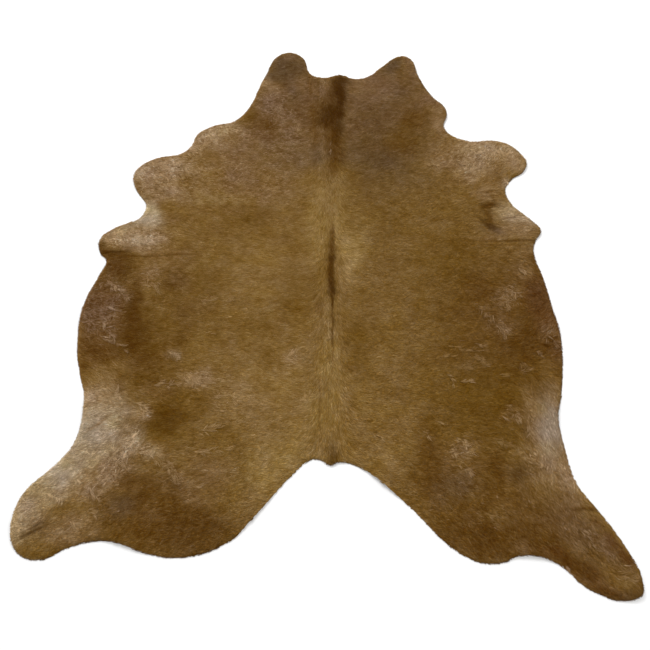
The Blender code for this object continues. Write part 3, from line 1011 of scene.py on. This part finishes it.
def rootsOverHide(pitch, rng):
    x, y = np.meshgrid(
        np.arange(boxLow[0], boxHigh[0], pitch), np.arange(boxLow[1], boxHigh[1], pitch)
    )
    scatter = coat["scatter"]
    x = x + rng.uniform(-scatter, scatter, x.shape) * pitch
    y = y + rng.uniform(-scatter, scatter, y.shape) * pitch
    keep = rim.at(x, y) > coat["rootInset"]
    return x[keep], y[keep]


def streakAt(x, y, hx, hy):
    # brightness that runs in streaks along the hair
    steps = np.linspace(-0.5, 0.5, coat["streakSteps"]) * coat["streakLength"]
    total = sum(streakNoise.at(x + step * hx, y + step * hy) for step in steps)
    return total * coat["streakGain"] / len(steps)


def heldAtEdge(x, y, hx, hy, length, overhang):
    # shortens what would reach too far past the cut edge
    start = rim.at(x, y)
    end = rim.at(x + length * hx, y + length * hy)
    over = end < -overhang
    share = np.where(over, (start + overhang) / np.maximum(start - end, tiny), 1)
    return length * np.clip(share, coat["shortest"], 1)


def lockShades(x, y, hx, hy, ruffle, rng):
    # how bright each lock is, and how far it goes towards the palest hair
    count = len(x)
    shade = np.exp(rng.normal(0, 1, count) * coat["shade"] * (1 + coat["ruffledShade"] * ruffle))
    shade *= 1 + coat["streak"] * (1 + ruffle) * streakAt(x, y, hx, hy)
    isPale = rng.uniform(0, 1, count) < coat["paleShare"] * np.maximum(ruffle - coat["paleFrom"], 0)
    pale = isPale * rng.uniform(*coat["pale"], count)
    return shade[:, None], pale[:, None]


def meshFrom(name, places, corners, tone, material):
    mesh = bpy.data.meshes.new(name)
    mesh.vertices.add(len(places))
    mesh.vertices.foreach_set("co", places.ravel())
    mesh.loops.add(corners.size)
    mesh.loops.foreach_set("vertex_index", corners.ravel())
    mesh.polygons.add(len(corners))
    mesh.polygons.foreach_set("loop_start", np.arange(len(corners)) * 3)
    mesh.update(calc_edges=True)
    mesh.polygons.foreach_set("use_smooth", np.ones(len(corners), dtype=bool))
    giveTone(mesh, tone)
    spot = places[corners.ravel(), :2]
    low, high = places[:, :2].min(axis=0), places[:, :2].max(axis=0)
    plan = mesh.uv_layers.new(name="OFBake")
    plan.data.foreach_set("uv", ((spot - low) / (high - low)).ravel())
    mesh.materials.append(material)
    return inScene(name, mesh)


def makeLocks(name, x, y, material, rng):
    # each lock is two root corners, its back over the root, and its tip
    count = len(x)
    length = around(rng, coat["length"], coat["lengthSpread"], count)
    ruffle = toneAt(x, y)[1]
    length *= 1 - coat["ruffledShort"] * ruffle
    hx, hy = headingAt(x, y, ruffle)
    stray = np.radians(rng.normal(0, 1, count) * (coat["stray"] + lie["ruffled"] * ruffle))
    hx, hy = hx * np.cos(stray) - hy * np.sin(stray), hx * np.sin(stray) + hy * np.cos(stray)
    overhang = coat["overhang"] * rng.uniform(*coat["overhangRange"], count)
    length = heldAtEdge(x, y, hx, hy, length, overhang)
    back, tip = coat["backAt"] * length, coat["tipAt"] * length
    backColour = toneAt(x + back * hx, y + back * hy)[0]
    tipColour, ruffle = toneAt(x + tip * hx, y + tip * hy)
    shade, pale = lockShades(x, y, hx, hy, ruffle, rng)
    half = around(rng, coat["width"] / 2, coat["widthSpread"], count)
    ground = topHeight(x, y)
    tipX, tipY = x + length * hx, y + length * hy
    rise = around(rng, coat["lift"], coat["liftSpread"], count)
    rise = rise * (1 + coat["ruffledLift"] * ruffle)
    drop = np.clip(rim.at(tipX, tipY) / coat["settle"], coat["hang"], 1)
    places = np.stack([
        np.column_stack([x - hy * half, y + hx * half, ground - coat["sunk"]]),
        np.column_stack([x + hy * half, y - hx * half, ground - coat["sunk"]]),
        np.column_stack([x, y, ground + coat["ridge"]]),
        np.column_stack([tipX, tipY, topHeight(tipX, tipY) + rise * drop]),
    ], axis=1)
    # darker at the root as painted shade under the locks above, lighter at the tip as painted light
    # on top
    parts = ((coat["rootTone"], backColour), (coat["rootTone"], backColour),
             (coat["backTone"], backColour), (coat["tipTone"], tipColour))
    tone = np.stack(
        [shadedBy(part + (palest - part) * pale, share * shade) for share, part in parts], axis=1
    )
    tone = np.clip(tone, colouring["darkest"], 1)
    faces = np.array([[0, 2, 3], [1, 3, 2], [0, 3, 1], [0, 1, 2]])
    corners = len(parts) * np.arange(count)[:, None, None] + faces
    return meshFrom(
        name, places.reshape(-1, 3), corners.reshape(-1, 3), tone.reshape(-1, 3), material
    )


def makeCoat(material):
    rng = np.random.default_rng(seeds["coat"])
    x, y = rootsOverHide(coat["pitch"], rng)
    count = len(coat["pieces"])
    edges = np.quantile(x, np.arange(count + 1) / count)
    edges[-1] = np.inf
    made = []
    for name, low, high in zip(coat["pieces"], edges[:-1], edges[1:]):
        here = (x >= low) & (x < high)
        made.append(makeLocks(name, x[here], y[here], material, rng))
    print("coat:", len(x), "locks in", len(made), "pieces")
    return made


hairs = {  # the finer hairs, which are wisps and tresses
    "tint": 0.2,  # how far a pale hair also takes the palest hair's hue
    "gleam": 1.65,  # how much brighter than the coat a pale hair can be, painted highlight included
    "stations": (  # along a hair: the share of its length, of its radius and of its lift
        (0.00, 0.0, -0.05),
        (0.35, 1.0, 0.65),
        (0.70, 0.8, 0.95),
        (1.00, 0.0, 0.70),
    ),
    "corners": (210, 330, 90),  # degrees around it
    "breadth": 1.5,  # how much broader than high it is
    "overhang": 0.002,  # how far it may reach past the cut edge
}
wisps = {
    "pitch": 0.0068,
    "least": 0.40,  # they grow where the hair is at least this ruffled
    "length": 0.024,
    "lengthSpread": 0.4,
    "radius": 0.00045,
    "radiusRange": (0.8, 1.4),
    "lift": 0.0040,
    "liftRange": (0.5, 1.1),
    "curl": 80,  # degrees that a wisp turns along its length
    "curlFirm": 2,  # how soon a clump takes all of that curl
    "curlRange": (0.7, 1.1),
    "stray": 45,  # degrees that a clump leans away from the coat
    "split": 9,  # degrees that the wisps of one clump differ by
    "clump": 0.013,  # size of the clumps that lean together, and of the painted shine and shade that they share
    "pale": (0.05, 0.42),  # how far they go towards the palest hair
    "paleClump": (0.4, 1.2),  # of that, in a dull clump, and how much more in a shining one, as painted highlight
    "dark": 0.35,  # the share of wisps that are darker than the coat, up to twice in a dull clump, where the darkness is painted shade
}
clumpNoise = SoftNoise(wisps["clump"], seeds["clumps"])
leanNoise = SoftNoise(wisps["clump"], seeds["leans"])
bendNoise = SoftNoise(wisps["clump"], seeds["bends"])

# Bands of longer hair that stand out from the coat: where each starts and ends, how broad it is,
# how many hairs it has, how far they go towards white, or towards black below nought, and how many
# degrees they curl. In millimetres and percent.
# Their paleness is partly pale hair and partly painted highlight on the curls.
Tress = namedtuple("Tress", "side along toSide toAlong breadth count share curl")
tressUnits = (mm, mm, mm, mm, mm, 1, percent, 1)
tresses = {
    "neck": (
        (-133, 1395, -113, 1438, 12, 26, 28, 30),
        (-205, 1390, -130, 1325, 16, 30, 28, 90),
        (-240, 1560, -200, 1500, 22, 34, 22, 90),
        (12, 1330, 5, 1265, 5, 14, 35, 10),
    ),
    "left front leg": (
        (-577, 1190, -562, 1188, 4, 10, 60, 30),
        (-670, 1184, -614, 1144, 22, 44, 34, 90),
        (-608, 1227, -586, 1205, 10, 18, 40, 70),
        (-720, 1205, -640, 1215, 18, 40, 30, 90),
        (-497, 1084, -351, 1020, 12, 60, 28, 15),
        (-741, 864, -661, 826, 14, 56, 42, 70),
        (-819, 886, -778, 864, 10, 26, 40, 60),
        (-554, 1287, -439, 1367, 26, 70, 32, 60),
    ),
    "right front leg": (
        (565, 1299, 613, 1269, 10, 30, 34, 20),
        (599, 1271, 612, 1278, 3, 10, 60, 10),
        (510, 1235, 536, 1206, 7, 20, 38, 40),
        (556, 1174, 602, 1213, 9, 34, 46, 15),
        (399, 1232, 436, 1195, 12, 28, 26, 20),
        (690, 1137, 703, 1109, 5, 16, 46, 20),
        (767, 1254, 781, 1232, 6, 14, 46, 30),
        (668, 1291, 709, 1246, 14, 28, 28, 20),
    ),
    "left flank": (
        (-801, 669, -759, 627, 10, 44, 42, 20),
        (-770, 640, -718, 590, 9, 28, 30, 20),
        (-785, 561, -748, 545, 5, 18, 50, 60),
        (-804, 521, -767, 509, 5, 16, 48, 60),
        (-792, 489, -756, 454, 7, 22, 50, 70),
        (-755, 450, -730, 419, 5, 16, 46, 50),
        (-807, 446, -735, 417, 5, 22, 48, 40),
        (-730, 415, -691, 385, 5, 16, 36, 40),
        (-858, 525, -822, 460, 12, 26, 28, 80),
        (-655, 682, -608, 619, 16, 34, 26, 40),
    ),
    "right flank": (
        (695, 725, 715, 701, 8, 26, 38, 40),
        (655, 640, 672, 600, 10, 18, 26, 50),
        (583, 600, 640, 558, 20, 44, 22, 90),
        (530, 560, 555, 541, 9, 14, 22, 70),
        (555, 537, 581, 504, 12, 20, 22, 70),
        (565, 510, 625, 450, 22, 44, 21, 80),
        (506, 414, 537, 402, 5, 18, 20, 4),
        (405, 406, 453, 398, 5, 20, 15, 3),
        (470, 392, 540, 388, 7, 26, 15, 3),
        (395, 368, 440, 372, 7, 20, 14, 3),
        (498, 363, 524, 356, 6, 18, 16, 3),
        (515, 336, 542, 336, 5, 14, 16, 3),
        (641, 313, 687, 315, 4, 16, 20, 3),
        (560, 300, 610, 302, 6, 18, 14, 3),
        (420, 330, 480, 326, 7, 22, 13, 3),
        (755, 445, 788, 406, 14, 30, 22, 20),
        (711, 385, 728, 366, 6, 14, 27, 40),
        (502, 379, 528, 341, 10, 22, 12, 30),
        (651, 341, 676, 304, 10, 20, 12, 40),
    ),
    "left groin": (
        (-635, 187, -606, 160, 10, 28, 46, 60),
        (-637, 74, -619, 100, 6, 30, 70, 30),
        (-640, 61, -661, 15, 7, 26, 50, 30),
        (-680, 40, -724, -30, 8, 36, 46, 30),
        (-692, -44, -710, -69, 6, 18, 46, 30),
        (-602, 33, -562, 26, 10, 44, 55, 60),
        (-545, 34, -466, -66, 18, 44, 22, 60),
        (-579, 262, -500, 267, 5, 30, 34, 8),
        (-708, 259, -691, 209, 4, 14, 36, 30),
        (-788, 259, -730, 248, 5, 16, 34, 50),
        (-693, 12, -637, -25, 12, 30, 40, 40),
        (-560, 20, -500, -30, 16, 34, 26, 60),
    ),
    "right groin": (
        (576, 191, 601, 180, 4, 12, 26, 30),
        (608, 158, 626, 125, 7, 26, 31, 60),
        (570, 149, 579, 142, 3, 8, 33, 30),
        (643, 124, 647, 71, 6, 22, 26, 60),
        (628, 16, 640, -2, 5, 14, 23, 60),
        (671, -9, 688, -34, 10, 22, 20, 80),
        (674, -2, 694, -40, 10, 10, -29, 50),
        (535, 71, 590, 44, 10, 26, 18, 80),
    ),
    "left hind leg": (
        (-750, -79, -705, -115, 12, 30, 34, 80),
        (-875, -102, -814, -124, 10, 40, 34, 90),
        (-794, -185, -761, -202, 7, 18, 32, 70),
        (-738, -158, -709, -176, 9, 20, 32, 80),
        (-789, -57, -769, -71, 4, 10, 42, 30),
        (-963, -209, -930, -202, 10, 22, 30, 30),
        (-715, -140, -690, -150, 8, 10, -40, 60),
    ),
    "right hind leg": (
        (729, -175, 746, -185, 5, 8, -50, 30),
        (740, -200, 753, -230, 6, 10, -50, 30),
        (760, -220, 800, -285, 8, 22, 22, 15),
        (752, -225, 790, -290, 8, 14, -35, 15),
        (698, -321, 706, -335, 6, 12, 50, 20),
        (834, -342, 895, -362, 12, 34, 24, 50),
    ),
    "left of the back": (
        (-547, 385, -511, 358, 9, 26, 37, 60),
        (-485, 299, -441, 266, 14, 46, 32, 60),
        (-566, 270, -531, 257, 5, 16, 31, 30),
        (-482, 293, -325, 274, 10, 56, 30, 8),
        (-329, 230, -301, 205, 10, 24, 34, 50),
        (-147, 366, -113, 392, 7, 24, 32, 50),
        (-96, 205, -57, 230, 8, 24, 29, 50),
        (-429, 102, -340, 115, 6, 36, 34, 8),
        (-309, 129, -265, 146, 6, 16, 27, 30),
        (-378, 173, -345, 170, 4, 10, 27, 20),
        (-426, 32, -311, 44, 6, 40, 30, 8),
        (-451, 590, -345, 598, 10, 40, 22, 20),
        (-388, 220, -299, 232, 5, 26, 28, 8),
        (-434, 31, -402, 28, 3, 8, 34, 10),
        (-425, -78, -393, -84, 3, 8, 34, 10),
        (-408, 105, -370, 118, 3, 8, 34, 10),
        (-437, 458, -402, 454, 3, 8, 31, 10),
    ),
    "spine": (
        (5, 830, 4, 610, 5.5, 40, -25, 15),
        (10, 600, 9, 490, 1, 14, -55, 5),
        (9, 490, 9, 390, 0.8, 6, -40, 5),
        (-7, 590, -6, 440, 3, 18, 25, 8),
    ),
    "right of the back": (
        (443, 277, 480, 274, 3.5, 30, 50, 4),
        (400, 295, 424, 259, 10, 14, 26, 20),
        (408, 81, 444, 51, 11, 40, 38, 80),
        (378, 34, 403, 21, 6, 16, 34, 50),
        (412, -14, 447, -40, 11, 26, 26, 40),
        (144, 91, 169, 71, 5, 12, 28, 30),
        (354, 132, 372, 122, 4, 8, 28, 20),
        (306, 98, 323, 71, 6, 12, 28, 30),
    ),
}
tressLook = {
    "length": 0.022,
    "lengthSpread": 0.35,
    "radius": 0.00045,
    "radiusRange": (0.7, 1.3),
    "lift": 0.0052,
    "liftRange": (0.6, 1.1),
    "density": 2.3,  # hairs for each one of a tress's count
    "strength": 0.80,  # of a tress's share, for each hair
    "strengthRange": (0.5, 1.3),
    "clump": 7,  # hairs that lean and curl together
    "run": 0.06,  # how far the hairs of one clump differ along the band, for its length
    "clumpsAway": 0.5,  # how far the clumps lie off its line, for its breadth
    "away": 0.2,  # how far the hairs of one clump differ by, for its breadth
    "fan": 18,  # degrees that the clumps differ by
    "split": 6,  # degrees that the hairs of one clump differ by
    "bendRange": (0.4, 1),
    "curlRange": (0.8, 1.2),
    "dark": 0.25,  # the share of hairs that are darker than the coat
    "darkness": 0.5,  # how dark they are, for how pale the others are
}


def layHairs(x, y, start, curl, length, radius, rise):
    # eight points for each hair: its root, two rings of three, and its tip
    axisX, axisY = x.copy(), y.copy()
    before = 0.0
    rings = []
    for share, thick, high in hairs["stations"]:
        turn = start + curl * (share + before) / 2
        axisX = axisX + length * (share - before) * np.cos(turn)
        axisY = axisY + length * (share - before) * np.sin(turn)
        before = share
        drop = np.clip(rim.at(axisX, axisY) / coat["settle"], 0, 1)
        z = topHeight(axisX, axisY) + rise * high * drop
        if thick == 0:
            rings.append(np.column_stack([axisX, axisY, z])[:, None, :])
            continue
        across = turn + math.pi / 2
        ring = np.empty((len(x), len(hairs["corners"]), 3))
        for k, angle in enumerate(hairs["corners"]):
            aside = radius * thick * hairs["breadth"] * math.cos(math.radians(angle))
            up = radius * thick * math.sin(math.radians(angle))
            ring[:, k] = np.column_stack(
                [axisX - aside * np.cos(across), axisY - aside * np.sin(across), z + up]
            )
        rings.append(ring)
    return np.concatenate(rings, axis=1)


def lighterBy(colour, share):
    # towards the palest hair's brightness above nought, towards black below it; above nought it
    # gives pale hair and painted highlight alike
    towards = np.maximum(share, 0)[:, None] * hairs["tint"]
    tinted = colour + (palest - colour) * towards
    paler = 1 + (palest @ brightness / (tinted @ brightness) - 1) * share
    light = np.where(share > 0, np.clip(paler, 1, hairs["gleam"]), 1 + share)
    return np.clip(shadedBy(tinted, light[:, None]), colouring["darkest"], 1)


def wispHairs(rng):
    x, y = rootsOverHide(wisps["pitch"], rng)
    colour, ruffle = toneAt(x, y)
    grows = rng.uniform(0, 1, len(x)) < (ruffle - wisps["least"]) / (1 - wisps["least"])
    x, y, colour, ruffle = x[grows], y[grows], colour[grows], ruffle[grows]
    count = len(x)
    hx, hy = headingAt(x, y, ruffle)
    lean = wisps["stray"] * leanNoise.at(x, y) + rng.normal(0, wisps["split"], count)
    start = np.arctan2(hy, hx) + np.radians(lean)
    bend = np.clip(wisps["curlFirm"] * bendNoise.at(x, y), -1, 1)
    curl = np.radians(wisps["curl"]) * bend * rng.uniform(*wisps["curlRange"], count)
    length = around(rng, wisps["length"], wisps["lengthSpread"], count)
    overhang = hairs["overhang"] * rng.uniform(*coat["overhangRange"], count)
    middle = start + curl / 2
    length = heldAtEdge(x, y, np.cos(middle), np.sin(middle), length, overhang)
    # a shining clump is painted paler and a dull one darker: painted highlight and painted shade
    # over the wisps' own paler hair
    clump = clumpNoise.shareAt(x, y)
    dull, shine = wisps["paleClump"]
    pale = rng.uniform(*wisps["pale"], count) * (dull + shine * clump)
    isDark = rng.uniform(0, 1, count) < wisps["dark"] * 2 * (1 - clump)
    colour = lighterBy(colour, np.where(isDark, -pale, pale))
    rise = wisps["lift"] * rng.uniform(*wisps["liftRange"], count)
    radius = wisps["radius"] * rng.uniform(*wisps["radiusRange"], count)
    return layHairs(x, y, start, curl, length, radius, rise), colour


def tressHairs(tress, rng):
    look = tressLook
    runSide = tress.toSide - tress.side
    runAlong = tress.toAlong - tress.along
    run = math.hypot(runSide, runAlong)
    count = round(look["density"] * tress.count)
    clumps = max(count // look["clump"], 1)
    member = rng.integers(0, clumps, count)
    share = rng.uniform(0, 1, clumps)[member] + rng.normal(0, look["run"], count)
    share = np.clip(share, 0, 1)
    away = rng.normal(0, look["clumpsAway"], clumps)[member] + rng.normal(0, look["away"], count)
    away = away * tress.breadth
    length = around(rng, look["length"], look["lengthSpread"], count)
    x = hide["spine"] + tress.side + share * runSide - away * runAlong / run
    y = hide["tail"] + tress.along + share * runAlong + away * runSide / run
    turn = math.atan2(runAlong, runSide)
    lean = rng.normal(0, look["fan"], clumps)[member] + rng.normal(0, look["split"], count)
    start = turn + np.radians(lean)
    bend = rng.choice([-1, 1], clumps) * rng.uniform(*look["bendRange"], clumps)
    curl = np.radians(tress.curl) * bend[member] * rng.uniform(*look["curlRange"], count)
    x -= length / 2 * np.cos(turn)
    y -= length / 2 * np.sin(turn)
    length = heldAtEdge(x, y, np.cos(start), np.sin(start), length, hairs["overhang"])
    isDark = rng.uniform(0, 1, count) < look["dark"]
    strength = look["strength"] * tress.share * rng.uniform(*look["strengthRange"], count)
    strength = np.where(isDark, -look["darkness"] * np.abs(strength), strength)
    colour = lighterBy(toneAt(x, y)[0], strength)
    rise = look["lift"] * rng.uniform(*look["liftRange"], count)
    radius = look["radius"] * rng.uniform(*look["radiusRange"], count)
    keep = rim.at(x, y) > coat["rootInset"]
    return layHairs(x, y, start, curl, length, radius, rise)[keep], colour[keep]


def makeWisps(name, material):
    rng = np.random.default_rng(seeds["finer hair"])
    bunches = [wispHairs(rng)]
    for rows in tresses.values():
        bunches += [tressHairs(tress, rng) for tress in rowsOf(Tress, tressUnits, rows)]
    places = np.concatenate([places for places, _ in bunches])
    colour = np.concatenate([colour for _, colour in bunches])
    count, points = places.shape[:2]
    faces = [[0, 2, 1], [0, 3, 2], [0, 1, 3], [7, 4, 5], [7, 5, 6], [7, 6, 4]]
    for k in range(3):
        a, b = 1 + k, 1 + (k + 1) % 3
        faces += [[a, b, b + 3], [a, b + 3, a + 3]]
    corners = (points * np.arange(count)[:, None, None] + np.array(faces)).reshape(-1, 3)
    print("wisps and tresses:", count, "hairs,", len(corners), "triangles")
    tone = np.repeat(colour, points, axis=0)
    return meshFrom(name, places.reshape(-1, 3), corners, tone, material)


class Wire:  # an output of a node, which adds and multiplies like a number
    def __init__(self, paint, socket):
        self.paint = paint
        self.socket = socket

    def math(self, operation, a, b):
        return self.paint.node("ShaderNodeMath", {"operation": operation}, {0: a, 1: b})

    def __add__(self, other):
        return self.math("ADD", self, other)

    def __radd__(self, other):
        return self.math("ADD", other, self)

    def __mul__(self, other):
        return self.math("MULTIPLY", self, other)

    def __rmul__(self, other):
        return self.math("MULTIPLY", other, self)


class Paint:  # one material on a Principled shader
    relief = 0.001  # how deep a bump is

    def __init__(self, name, look):
        self.material = bpy.data.materials.new(name)
        self.material.use_nodes = True
        self.tree = self.material.node_tree
        self.shader = self.tree.nodes["Principled BSDF"]
        self.shader.inputs["Roughness"].default_value = look["roughness"]
        self.shader.inputs["Specular IOR Level"].default_value = look["specular"]

    def node(self, kind, settings, inputs, output=0):
        made = self.tree.nodes.new(kind)
        for key, value in settings.items():
            setattr(made, key, value)
        for key, value in inputs.items():
            if isinstance(value, Wire):
                self.tree.links.new(value.socket, made.inputs[key])
            else:
                made.inputs[key].default_value = value
        return Wire(self, made.outputs[output])

    def tone(self):
        return self.node("ShaderNodeAttribute", {"attribute_name": "tone"}, {}, "Color")

    def noise(self, scale, detail):
        place = self.node("ShaderNodeTexCoord", {}, {}, "Object")
        inputs = {"Vector": place, "Scale": scale, "Detail": detail}
        return self.node("ShaderNodeTexNoise", {}, inputs)

    def mix(self, share, a, b):
        # colours in, colour out
        return self.node("ShaderNodeMix", {"data_type": "RGBA"}, {0: share, 6: a, 7: b}, 2)

    def scaled(self, colour, amount):
        # a colour made lighter or darker
        grey = self.node("ShaderNodeCombineXYZ", {}, {0: amount, 1: amount, 2: amount})
        return self.node("ShaderNodeVectorMath", {"operation": "MULTIPLY"}, {0: colour, 1: grey})

    def bump(self, height, strength):
        inputs = {"Height": height, "Strength": strength, "Distance": self.relief}
        return self.node("ShaderNodeBump", {}, inputs)

    def feed(self, **wires):
        for key, wire in wires.items():
            self.tree.links.new(wire.socket, self.shader.inputs[key.replace("_", " ")])
        return self.material


hairLook = {
    "roughness": 0.55,
    "specular": 0.03,
    "mottle": 0.30,
    "mottleScale": 300,
    "mottleDetail": 1,
}
skinLook = {
    "roughness": 0.8,
    "specular": 0.2,
    "grain": 500,
    "grainDetail": 4,
    "bump": 0.4,
    "shade": (0.5, 0.3),  # of the coat's tone, as painted shade under the hair: at least, and what the grain adds
}
suedeLook = {
    "pale": (0.42, 0.34, 0.25, 1),
    "dark": (0.30, 0.23, 0.16, 1),
    "roughness": 0.9,
    "specular": 0.2,
    "nap": 900,
    "napDetail": 5,
    "clouds": 9,
    "cloudDetail": 3,
    "bump": 0.35,
    "shade": (0.85, 0.3),  # the same, with the nap
}


def paintHair():
    look = hairLook
    paint = Paint("coat hair", look)
    tone = paint.tone()
    mottle = paint.noise(look["mottleScale"], look["mottleDetail"])
    shade = 1 - look["mottle"] / 2 + look["mottle"] * mottle
    return paint.feed(Base_Color=paint.scaled(tone, shade))


def paintSkin():
    # the skin between the roots, in the coat's own tones but darker, as painted shade under the
    # hair
    look = skinLook
    paint = Paint("hair side", look)
    grain = paint.noise(look["grain"], look["grainDetail"])
    least, more = look["shade"]
    colour = paint.scaled(paint.tone(), least + more * grain)
    return paint.feed(Base_Color=colour, Normal=paint.bump(grain, look["bump"]))


def paintSuede():
    look = suedeLook
    paint = Paint("suede side", look)
    nap = paint.noise(look["nap"], look["napDetail"])
    colour = paint.mix(paint.noise(look["clouds"], look["cloudDetail"]), look["pale"], look["dark"])
    least, more = look["shade"]
    colour = paint.scaled(colour, least + more * nap)
    return paint.feed(Base_Color=colour, Normal=paint.bump(nap, look["bump"]))


def finishLeather(cut, skin, suede):
    makeActive(cut)
    mesh = cut.data
    mesh.materials.clear()
    mesh.materials.append(suede)
    mesh.materials.append(skin)
    thick = cut.modifiers.new("thickness", "SOLIDIFY")
    thick.thickness = leather["thickness"]
    thick.offset = 1
    bpy.ops.object.modifier_apply(modifier=thick.name)
    for face in mesh.polygons:
        face.material_index = 1 if face.normal.z > leather["facing"] else 0
    places = pointsOf(mesh)
    giveTone(mesh, toneAt(places[:, 0], places[:, 1])[0])
    bpy.ops.object.shade_smooth_by_angle(angle=math.radians(leather["smoothAngle"]))
    print("leather:", len(mesh.polygons), "faces, top at", places[:, 2].max())


hair = paintHair()
finishLeather(cut, paintSkin(), paintSuede())
strips = makeCoat(hair)
wispPiece = makeWisps("coat_wisps", hair)

pieces = strips + [wispPiece]
for piece in [cut] + pieces:
    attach(piece, "root")
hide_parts(hide["node"])


floorLook = {
    "size": 12.0,
    "drop": -0.0004,  # just clear of the hide's underside
    "tone": 0.96,
    "roughness": 0.9,
    "specular": 0.1,
}
studio = {
    "dome": 0.80,  # strength of the light from all round
    "lampSize": 2.6,
    "lamps": {  # watts, and place
        "key": (112.0, (-1.3, 2.7, 4.1)),
        "fill": (20.0, (2.5, -2.0, 3.0)),
    },
}
view = {
    "elevation": 62,  # degrees above the floor
    "distance": 2.45,
    "aim": (0.0136, -0.2216, 0.0),
    "focal": 700,  # focal length in pixels, for a picture this wide
    "width": 650,
    "sensor": 36,
}


def makeFloor():
    bpy.ops.mesh.primitive_plane_add(size=floorLook["size"], location=(0, 0, 0))
    floor = bpy.context.object
    floor.name = "floor"
    bpy.ops.object.transform_apply(location=True)
    floor.location.z = floorLook["drop"]
    paint = Paint("floor", floorLook)
    paint.shader.inputs["Base Color"].default_value = (floorLook["tone"],) * 3 + (1,)
    floor.data.materials.append(paint.material)


def makeLight(name, power, place):
    light = bpy.data.lights.new(name, "AREA")
    light.shape = "DISK"
    light.size = studio["lampSize"]
    light.energy = power
    lamp = inScene(name, light)
    lamp.location = place
    lamp.rotation_euler = (-lamp.location).to_track_quat("-Z", "Y").to_euler()
    lamp.visible_camera = False


def makeWorld():
    world = bpy.data.worlds.new("studio")
    world.use_nodes = True
    dome = world.node_tree.nodes["Background"]
    dome.inputs["Color"].default_value = (1, 1, 1, 1)
    dome.inputs["Strength"].default_value = studio["dome"]
    bpy.context.scene.world = world
    bpy.context.scene.view_settings.view_transform = "Standard"


def makeCamera():
    tilt = math.radians(view["elevation"])
    lens = bpy.data.cameras.new("camera")
    lens.lens = view["focal"] / view["width"] * view["sensor"]
    lens.sensor_width = view["sensor"]
    eye = inScene("camera", lens)
    back = view["distance"] * math.cos(tilt)
    up = view["distance"] * math.sin(tilt)
    eye.location = (view["aim"][0], view["aim"][1] - back, view["aim"][2] + up)
    eye.rotation_euler = (math.pi / 2 - tilt, 0, 0)
    bpy.context.scene.camera = eye


makeFloor()
for name, (power, place) in studio["lamps"].items():
    makeLight(name, power, place)
makeWorld()
makeCamera()
print("studio: floor, two lamps and a camera")
